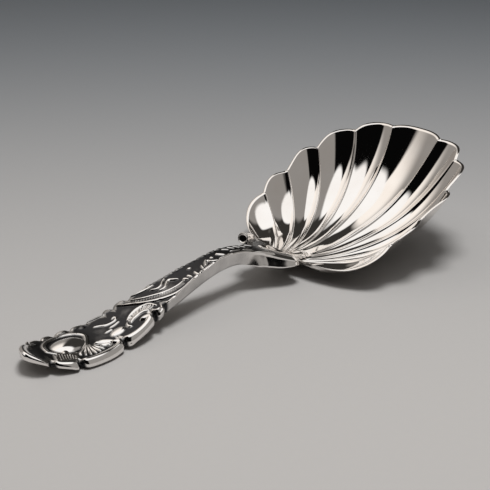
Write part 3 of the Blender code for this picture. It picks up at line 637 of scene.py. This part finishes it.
def wear_and_painted_shade(x, across, relief, from_edge, round_edge):
    """Polish of the top and of the near and far sides, from 0 in the dark ground to 1 on bright silver.

    The top is as bright as its relief is high, or as it is near an edge. Notches stay dark. The far edge is
    made darker by its own share up to a reach from the edge, and the sides are darkened by painted shade
    for the dim floor that they mirror.
    """
    shine = np.maximum(relief / FULL_SHINE, 1 - ease(from_edge / round_edge - EDGE_SHINE))
    near_clean = 1 - ease(NOTCH_DARKNESS * notches(x, NEAR_LOBES))
    far_clean = 1 - ease(NOTCH_DARKNESS * notches(x, FAR_LOBES))
    near_edge_tone = 1 - (1 - near_clean) * (1 - ease(from_edge / NOTCH_REACH))
    edge_tone = np.where(across > 0, through(x, FAR_EDGE_TONE), near_edge_tone)
    past_edge_tone = (across > 0) & (from_edge > through(x, EDGE_TONE_REACH))
    # Sides darkened by painted shade.
    bright = 1 - through(x, SIDE_PAINTED_SHADE)
    return np.clip(shine, 0, 1) * np.where(past_edge_tone, 1.0, edge_tone), near_clean * bright, far_clean * bright


NEAR_TRIM, NEAR_FLARE, FLARE_FROM, FLARE_OVER = 0.16, 1.3, -2.0, 8.0
TIP_ROUNDING, TIP_RUN, TIP_SHARE = 1.6, 3.0, 0.98
HEEL_FROM, HEEL_OVER, LEAN_FROM, LEAN_OVER = -1.0, 7.0, -3.0, 4.0
CHAMFER_FROM, CHAMFER_OVER, CHAMFER_POWER = 1.0, 3.0, 1.15
SIDE_DRAFT, WALL_LEAN = 0.78, 0.32
TONGUE_FROM, TONGUE_TO, TONGUE_STEPS = 0.004, 0.97, 24
NEAR_WALL = ((END_X, 9.0), (WAIST_X, 9.0), (0.0, 3.0), (4.0, 2.2), (SHOULDER_X, 0.8), (20.0, 0.8))
NEAR_ROUND = (
    (END_X, 0.9), (-42.0, 1.0), (-38.0, 1.1), (-26.0, 1.0), (-20.0, 0.35), (0.0, 0.4), (4.0, 1.0),
    (20.0, 1.0))
FAR_ROUND = ((END_X, 1.0), (-25.0, 0.9), (-20.0, 0.3), (20.0, 0.3))
NEAR_DROP = (
    (END_X, 0.7), (-42.0, 0.9), (-38.0, 1.05), (-26.0, 0.95), (-20.0, 0.25), (0.0, 0.35), (4.0, 0.65),
    (20.0, 0.65))
FAR_DROP = ((END_X, 0.5), (-40.0, 0.7), (-25.0, 0.7), (-20.0, 0.3), (20.0, 0.3))


def handle_rings():
    """Closed sections along the handle, and the polish of each point.

    A section runs over the top from far to near, down the near side, along the bottom and up the far side.
    The top is the handle's face plus its softened ornament, less a fall to each edge: a quarter ellipse,
    which turns into a chamfer at the shoulders. The tongue's top is the bowl's face. The near shoulder
    flares to a rounded tip, and its wall leans out and gets lower on the way; the far one is undercut.
    The values given for the sides are darkened by painted shade.
    """
    stem = np.linspace(END_X, SHOULDER_X, int((SHOULDER_X - END_X) / ROW_STEP))
    share = np.sin(np.linspace(TONGUE_FROM, TONGUE_TO, TONGUE_STEPS) * math.pi / 2)
    x = np.concatenate([stem, SHOULDER_X + TONGUE_LENGTH * share])[:, None]
    tongue = np.concatenate([np.zeros(len(stem)), share])[:, None]
    on_tongue = x > SHOULDER_X
    reach = TONGUE_SIDE * np.sqrt(1 - tongue ** 2)
    far_plan = side_width(x, FAR_LOBES, FAR_NOTCH)
    near_plan = side_width(x, NEAR_LOBES, NEAR_NOTCH, NEAR_TRIM)
    near_plan = near_plan + NEAR_FLARE * ramp(x, FLARE_FROM, FLARE_OVER)
    tip = np.clip(1 - (SHOULDER_X - x) / TIP_RUN, 0.0, 1.0)
    near_plan = near_plan - TIP_ROUNDING * (1 - np.sqrt(1 - TIP_SHARE * tip ** 2))
    far, near = np.where(on_tongue, reach, far_plan), np.where(on_tongue, reach, near_plan)
    across = np.sin(np.linspace(math.pi / 2, -math.pi / 2, TOP_STEPS + 1))[None, :]
    on_far = across > 0
    y = np.where(on_far, far, near) * across
    spread = np.broadcast_to(x, y.shape)
    relief = ornament(spread, y)
    relief = (2 * relief + np.roll(relief, 1, 0) + np.roll(relief, -1, 0)) / 4
    relief = (2 * relief + np.roll(relief, 1, 1) + np.roll(relief, -1, 1)) / 4
    far_square, near_square = [
        side / np.sqrt(1 + np.gradient(side, x[:, 0], axis=0) ** 2) for side in (far_plan, near_plan)]
    from_edge = np.where(on_far, far_square, near_square) * (1 - np.abs(across))
    round_edge = np.where(on_far, through(x, FAR_ROUND), through(x, NEAR_ROUND))
    inset = np.clip(1 - from_edge / round_edge, 0.0, 1.0)
    chamfer = ramp(x, CHAMFER_FROM, CHAMFER_OVER)
    fall = blend(1 - np.sqrt(1 - inset ** 2), inset ** CHAMFER_POWER, chamfer)
    drop = np.where(on_far, through(x, FAR_DROP), through(x, NEAR_DROP)) * fall
    top = np.where(on_tongue, bowl_face(spread, y), handle_face(spread, y) + relief - drop)
    thin = bowl_face(x, 0 * x) - TONGUE_THICKNESS
    tongue_floor = np.minimum(thin, blend(REST + HEEL_HEIGHT, thin, tongue))
    floor = np.where(on_tongue, tongue_floor, underside(np.minimum(x, SHOULDER_X)))
    wall = through(x, NEAR_WALL)
    near_floor = np.where(on_tongue, floor, np.maximum(floor, top[:, -1:] - wall))
    heel = ramp(x, HEEL_FROM, HEEL_OVER)
    lean = np.where(on_tongue, 0.0, ramp(x, LEAN_FROM, LEAN_OVER))
    tongue_foot = reach * HEEL_SIDE / TONGUE_SIDE
    near_foot = np.where(on_tongue, tongue_foot, blend(SIDE_DRAFT * near, near + WALL_LEAN * wall, lean))
    far_foot = np.where(on_tongue, tongue_foot, blend(SIDE_DRAFT * far, HEEL_SIDE, heel))
    near_undercut = np.where(on_tongue, heel, 0.0)
    near_y, near_z = side_curve(near, near_foot, top[:, -1:], near_floor, near_undercut, lean)
    far_y, far_z = side_curve(far, far_foot, top[:, :1], floor, heel, 0.0)
    under = np.linspace(-1, 1, BOTTOM_STEPS + 1)[None, :]
    under_y = np.where(under > 0, far_foot, near_foot) * under
    under_z = floor + (near_floor - floor) * np.minimum(under, 0.0) ** 2
    ys = np.concatenate([y, -near_y, under_y, far_y[:, ::-1]], axis=1)
    zs = np.concatenate([top, near_z, under_z, far_z[:, ::-1]], axis=1)
    shine, near_shine, far_shine = wear_and_painted_shade(x, across, relief, from_edge, round_edge)
    # The sides' values hold painted shade as well as polish.
    polish_and_shade = np.concatenate([shine, near_shine + 0 * near_y, 1 + 0 * under_y, far_shine + 0 * far_y], axis=1)
    return np.stack([np.broadcast_to(x, ys.shape), ys, zs], axis=-1), polish_and_shade


sections, polish_and_shade = handle_rings()
handle = ring_mesh("struck_handle", sections, SEAT)
polish_layer = handle.data.attributes.new("polish_and_shade", "FLOAT", "POINT")
polish_layer.data.foreach_set("value", polish_and_shade.ravel().astype(np.float32))

TARNISH, WORN_SILVER = (0.045, 0.045, 0.048, 1), (0.92, 0.895, 0.87, 1)
GRAIN_SCALE, BLOTCH_SCALE, BLOTCH_SHARE = 900.0, 260.0, 0.5
GROUND_ROUGHNESS, POLISH_GAIN, POLISH_RANGE = 0.34, 0.26, (0.05, 0.75)
POLISHED_GRAIN, GROUND_GRAIN = 0.03, 0.35


def struck_silver():
    """Struck silver: bright where the ornament stands up, dark tarnish in the ground between."""
    material, shader, place = new_material("struck_silver")
    # The attribute holds painted shade on the sides as well as the polish; both draw the colour towards
    # tarnish.
    height = place.node("ShaderNodeAttribute", {"attribute_name": "polish_and_shade"}, output=2)
    blotch = (place.noise(BLOTCH_SCALE, 3.0) - 0.5) * BLOTCH_SHARE
    bright = (height + blotch).between(*POLISH_RANGE)
    bump = place.node("ShaderNodeBump", {}, {
        "Strength": (1 - bright) * GROUND_GRAIN + POLISHED_GRAIN, "Distance": BUMP_DEPTH,
        "Height": place.noise(GRAIN_SCALE, 5.0)})
    colour, gloss = bright.mixed(TARNISH, WORN_SILVER), GROUND_ROUGHNESS - bright * POLISH_GAIN
    connect(shader, Base_Color=colour, Metallic=1.0, Roughness=gloss, Normal=bump)
    return material


handle.data.materials.append(struck_silver())
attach(handle, "root")
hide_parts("handle")

# Heel leaf: a small cast leaf soldered over the joint of handle and bowl. Its lobes end in blunt tips, one
# on the foot of each ridge, with shallow grooves between them.
LEAF_X, LEAF_FRONT, LEAF_BACK, LEAF_SIDE = SHOULDER_X, 7.7, 5.4, 2.9
LEAF_TIP, LEAF_RIB, LEAF_SKIN, LEAF_SINK = 0.06, 0.09, 0.15, 0.06
LEAF_EDGE_POWER, LEAF_TURN, LEAF_OVERLAP = 8, 2.0, 0.6
LEAF_AROUND, LEAF_OUT, LEAF_START = 264, 36, 0.03


def leaf_rings():
    """Closed leaf: rings grow from its middle to its edge on top, then shrink again just under the face.

    In plan it is a half ellipse to the front and a shorter one to the back, with a lobe at every ridge
    foot. Ribs rise with the square of the way out along each ridge and fall away in the grooves.
    """
    angle = np.linspace(0, 2 * math.pi, LEAF_AROUND, endpoint=False)[None, :]
    out = np.linspace(LEAF_START, 1, LEAF_OUT)[:, None]
    front = ease(LEAF_TURN * np.cos(angle) + LEAF_OVERLAP)
    turn = np.arcsin(np.sin(angle)) / (math.pi / 2)
    lobe = (np.sign(turn) * np.abs(turn) ** (1 / FOOT_SPREAD) + 1) / 2 * LOBES
    tip = front * (0.5 + 0.5 * np.cos(2 * math.pi * lobe))
    grow = 1 + LEAF_TIP * (tip - 0.5)
    length = np.where(np.cos(angle) > 0, LEAF_FRONT, LEAF_BACK)
    x = LEAF_X + length * np.cos(angle) * out * grow
    y = LEAF_SIDE * np.sin(angle) * out * grow
    face = handle_face(x, y)
    rib = LEAF_SKIN + LEAF_RIB * out ** 2 * tip
    top = face + rib * np.sqrt(1 - out ** LEAF_EDGE_POWER)
    upper, lower = np.stack([x, y, top], axis=-1), np.stack([x, y, face - LEAF_SINK], axis=-1)
    return np.concatenate([upper, lower[::-1]])


heel_leaf = ring_mesh("cast_heel_leaf", leaf_rings(), SEAT)
heel_leaf.data.materials.append(mirror_silver())
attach(heel_leaf, "root")
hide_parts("heel_leaf")

# Shoulder scroll: the rolled end of a scroll on the far shoulder, a short tapered roll of silver with a
# dished end, soldered along the edge of the shoulder.
ROLL_START, ROLL_END, ROLL_RADIUS, ROLL_TAPER = 2.0, 5.6, 1.15, 0.75
ROLL_LEAN, ROLL_STAND, ROLL_AROUND = math.radians(62), 0.88, 64
ROLL_STATIONS = np.array([
    (0.03, 0.05), (0.03, 0.4), (0.025, 0.68), (0.01, 0.76), (-0.01, 0.82), (-0.015, 0.88), (0.0, 0.95),
    (0.03, 0.99), (0.08, 1.0), (0.3, 0.98), (0.6, 1.0), (0.85, 0.98), (0.95, 0.9), (1.0, 0.7), (1.03, 0.4),
    (1.04, 0.05)])


def roll_rings():
    """Turned roll: rings about a slanting axis, from a dished end over a round rim to a thin tail.

    Each station gives the share of the length and the share of the local radius, which shrinks evenly.
    """
    ends = []
    for x, radius in ((ROLL_START, ROLL_RADIUS), (ROLL_END, ROLL_RADIUS * ROLL_TAPER)):
        side = side_width(np.array(x), FAR_LOBES, FAR_NOTCH)
        away = radius * ROLL_STAND
        height = handle_face(np.array(x), side) + away * math.sin(ROLL_LEAN)
        ends.append(np.array([x, side + away * math.cos(ROLL_LEAN), height]))
    start, axis = ends[0], ends[1] - ends[0]
    along, share = ROLL_STATIONS.T
    radius = ROLL_RADIUS * blend(1, ROLL_TAPER, np.clip(along, 0, 1)) * share
    forward = axis / np.linalg.norm(axis)
    sideways = np.cross(forward, (0.0, 0.0, 1.0))
    sideways /= np.linalg.norm(sideways)
    upward = np.cross(sideways, forward)
    turn = np.linspace(0, 2 * math.pi, ROLL_AROUND, endpoint=False)
    spin = np.cos(turn)[:, None] * sideways + np.sin(turn)[:, None] * upward
    return (start + along[:, None] * axis)[:, None] + radius[:, None, None] * spin


shoulder_scroll = ring_mesh("rolled_scroll", roll_rings(), SEAT)
shoulder_scroll.data.materials.append(mirror_silver())
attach(shoulder_scroll, "root")
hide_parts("shoulder_scroll")

# Floor: a plain sweep of pale card with painted shade: pale in front and painted slate grey towards the back
# for the light's falloff, the painted share falling as 1 over the square of 1 plus the squared way back.
# A soft lamp high above the bowl's tip lights it.
FLOOR_HALF = 2.5
PALE_AT, FADE_REACH = -0.069, 0.2366
# The near colour is the pale card; the far colour is painted shade.
CARD_IN_PAINTED_SHADE, PALE_CARD = (0.084, 0.096, 0.108, 1), (0.356, 0.344, 0.334, 1)
FIBRE_SCALE, FIBRE_TINT, CARD_ROUGHNESS = 900.0, 0.03, 0.75
LAMP_AT, LAMP_AIM = np.array([0.06, 0.0, 0.5]), np.array([0.0, 0.0, 0.0])
LAMP_POWER, LAMP_RADIUS, LAMP_CONE = 10.7, 0.09, math.radians(120)

floor_mesh = bpy.data.meshes.new("floor")
corners = FLOOR_HALF * np.array([(-1, -1, 0), (1, -1, 0), (1, 1, 0), (-1, 1, 0)])
floor_mesh.from_pydata(corners.tolist(), [], [(0, 1, 2, 3)])
floor = bpy.data.objects.new("floor", floor_mesh)
bpy.context.collection.objects.link(floor)
card, card_shader, card_place = new_material("card_with_painted_falloff")
backwards = (-math.sin(CAMERA_AZIMUTH), math.cos(CAMERA_AZIMUTH), 0.0)
way_back = card_place.maths("MAXIMUM", (card_place.dot(backwards) - PALE_AT) * (1 / FADE_REACH), 0.0)
fibre = (card_place.noise(FIBRE_SCALE, 3.0) - 0.5) * FIBRE_TINT
# Painted shade: the card darkens towards the back in place of the light's falloff.
painted_falloff = card_place.maths("POWER", 1 + way_back * way_back, -2.0) + fibre
connect(card_shader, Base_Color=painted_falloff.mixed(CARD_IN_PAINTED_SHADE, PALE_CARD), Roughness=CARD_ROUGHNESS)
floor_mesh.materials.append(card)

lamp = bpy.data.lights.new("lamp", "SPOT")
lamp.energy = LAMP_POWER
lamp.spot_size, lamp.spot_blend = LAMP_CONE, 1.0
lamp.shadow_soft_size = LAMP_RADIUS
lamp_object = bpy.data.objects.new("lamp", lamp)
lamp_object.location = LAMP_AT
lamp_way = LAMP_AIM - LAMP_AT
lamp_tilt = math.atan2(math.hypot(lamp_way[0], lamp_way[1]), -lamp_way[2])
lamp_object.rotation_euler = (lamp_tilt, 0.0, math.atan2(-lamp_way[0], lamp_way[1]))
lamp_object.visible_glossy = False
bpy.context.collection.objects.link(lamp_object)

# Studio: what the silver mirrors. A white tent overhead, a tall cream screen behind on the left, charcoal
# cloth behind, a grey wall on the right, and darkness on the side of the camera. Angles are in degrees.
GREY_WALL, CHARCOAL, DARKNESS = (0.29, 0.277, 0.264, 1), (0.036, 0.034, 0.031, 1), (0.002, 0.002, 0.002, 1)
SCREEN_FOOT, SCREEN_TOP, TENT = (0.29, 0.272, 0.255, 1), (1.05, 0.99, 0.93, 1), (1.04, 1.03, 1.02, 1)
CHARCOAL_SPAN, SCREEN_SPAN, DARK_SPAN = (-3, 90, 7), (60, 160, 4), (140, 262, 4)
SCREEN_EDGE, TENT_EDGE = (36, 14), (60.3, 3)

world = bpy.data.worlds.new("studio")
world.use_nodes = True
sight = Shade(world.node_tree).node("ShaderNodeTexCoord", output=0)


def along(azimuth, elevation):
    """Line of sight along a direction, as a dot product. Azimuth is 0 along X and 90 along Y."""
    azimuth, elevation = math.radians(azimuth), math.radians(elevation)
    level = math.cos(elevation)
    return sight.dot((math.cos(azimuth) * level, math.sin(azimuth) * level, math.sin(elevation)))


def sector(start, end, soft):
    """Soft-edged sector between two azimuths: 1 inside it, and a smooth step over the soft angle to 0."""
    middle, half = (start + end) / 2, (end - start) / 2
    turn = sight.maths("ARCTAN2", along(middle + 90, 0), along(middle, 0))
    away = sight.maths("ABSOLUTE", turn, 0.0)
    return away.eased(math.radians(half + soft), math.radians(half - soft))


def above(elevation, soft):
    """1 above an elevation and 0 below it, with a smooth step over the soft angle."""
    low, high = math.radians(elevation - soft), math.radians(elevation + soft)
    return along(0, 90).eased(math.sin(low), math.sin(high))


sky = sector(*CHARCOAL_SPAN).mixed(GREY_WALL, CHARCOAL)
sky = sector(*SCREEN_SPAN).mixed(sky, above(*SCREEN_EDGE).mixed(SCREEN_FOOT, SCREEN_TOP))
sky = sector(*DARK_SPAN).mixed(sky, DARKNESS)
sky = above(*TENT_EDGE).mixed(sky, TENT)
background = world.node_tree.nodes["Background"]
world.node_tree.links.new(sky.socket, background.inputs["Color"])
bpy.context.scene.world = world
